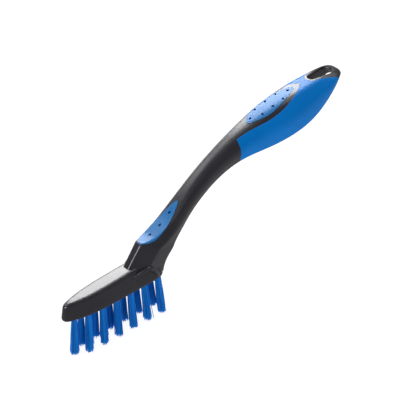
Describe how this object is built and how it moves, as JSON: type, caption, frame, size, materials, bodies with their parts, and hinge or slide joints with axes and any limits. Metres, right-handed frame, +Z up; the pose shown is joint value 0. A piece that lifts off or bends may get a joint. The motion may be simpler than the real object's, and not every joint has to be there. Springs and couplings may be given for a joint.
{
  "type": "grout brush",
  "caption": "Narrow tufted scrubbing brush on a long cranked two-component handle, with soft thumb and finger pads and a hanging eye at its end.",
  "frame": {"origin": "centre of the bounding box in plan, on the level of the trimmed bristle tips", "axes": "+X from the nose of the head to the hanging end, +Z up from the bristle tips, +Y to the left of a user looking from the nose along the handle"},
  "size_m": [0.2386, 0.0254, 0.1228],
  "materials": {
    "black": "moulded polypropylene, satin gloss",
    "blue": "smooth overmould, satin gloss",
    "pad": "soft thermoplastic elastomer, satin",
    "bristle": "nylon filament",
    "steel": "plain strip"
  },
  "bodies": {
    "root": {"anchor_staples": "steel", "finger_pad": "pad", "grip_shell": "blue", "handle_core": "black", "thumb_pad": "pad", "tuft_left_1": "bristle", "tuft_left_2": "bristle", "tuft_left_3": "bristle", "tuft_left_4": "bristle", "tuft_left_5": "bristle", "tuft_left_6": "bristle", "tuft_mid_1": "bristle", "tuft_mid_2": "bristle", "tuft_mid_3": "bristle", "tuft_mid_4": "bristle", "tuft_mid_5": "bristle", "tuft_mid_6": "bristle", "tuft_mid_7": "bristle", "tuft_right_1": "bristle", "tuft_right_2": "bristle", "tuft_right_3": "bristle", "tuft_right_4": "bristle", "tuft_right_5": "bristle", "tuft_right_6": "bristle"}
  },
  "joints": []
}
